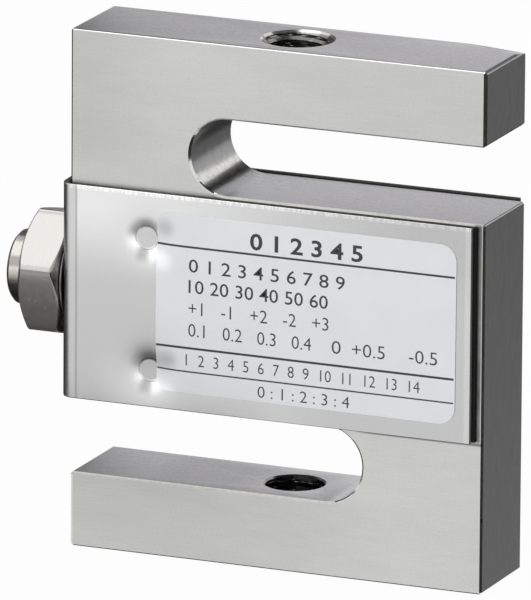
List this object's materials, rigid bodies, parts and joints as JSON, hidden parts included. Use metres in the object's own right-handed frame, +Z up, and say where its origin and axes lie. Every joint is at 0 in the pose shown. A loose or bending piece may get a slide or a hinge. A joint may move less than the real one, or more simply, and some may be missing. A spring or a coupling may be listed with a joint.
{
  "type": "s type load cell",
  "caption": "Slotted steel s type load cell with a threaded hole in each end beam, folded sheet cover over the gauges, label and hexagonal side cable gland.",
  "frame": {"origin": "foot of the load axis: the mouth of the lower threaded hole, at the middle of the bottom face", "axes": "+Z up along the load axis, +X away from the cable gland, -Y towards the labelled front"},
  "size_m": [0.0596, 0.0158, 0.0609],
  "materials": {
    "block_steel": "milled and ground, nickel plated",
    "cover_steel": "satin rolled sheet",
    "sealant": "dark cured sealant",
    "label_film": "satin silver-white film with black print",
    "gauge_film": "amber polyimide",
    "board_laminate": "glass fibre laminate",
    "solder": "bright solder",
    "resistor_ceramic": "lacquered ceramic",
    "lead_wire": "enamelled copper",
    "potting": "milky silicone",
    "gland_metal": "nickel plated, turned",
    "seal_rubber": "moulded rubber",
    "ring_brass": "turned brass"
  },
  "bodies": {
    "root": {"s_body": "block_steel", "wrap_cover": "cover_steel", "sealant_layer": "sealant", "rating_label": "label_film", "gauge_upper_left": "gauge_film", "gauge_lower_left": "gauge_film", "gauge_upper_right": "gauge_film", "gauge_lower_right": "gauge_film", "terminal_board": "board_laminate", "solder_pads": "solder", "balance_resistor": "resistor_ceramic", "span_resistor": "resistor_ceramic", "gauge_leads": "lead_wire", "cavity_potting": "potting", "gland_body": "gland_metal", "gland_washer": "gland_metal", "gland_seal_ring": "seal_rubber", "gland_seal_bush": "seal_rubber", "gland_thrust_ring": "ring_brass", "gland_nipple": "gland_metal"}
  },
  "joints": []
}
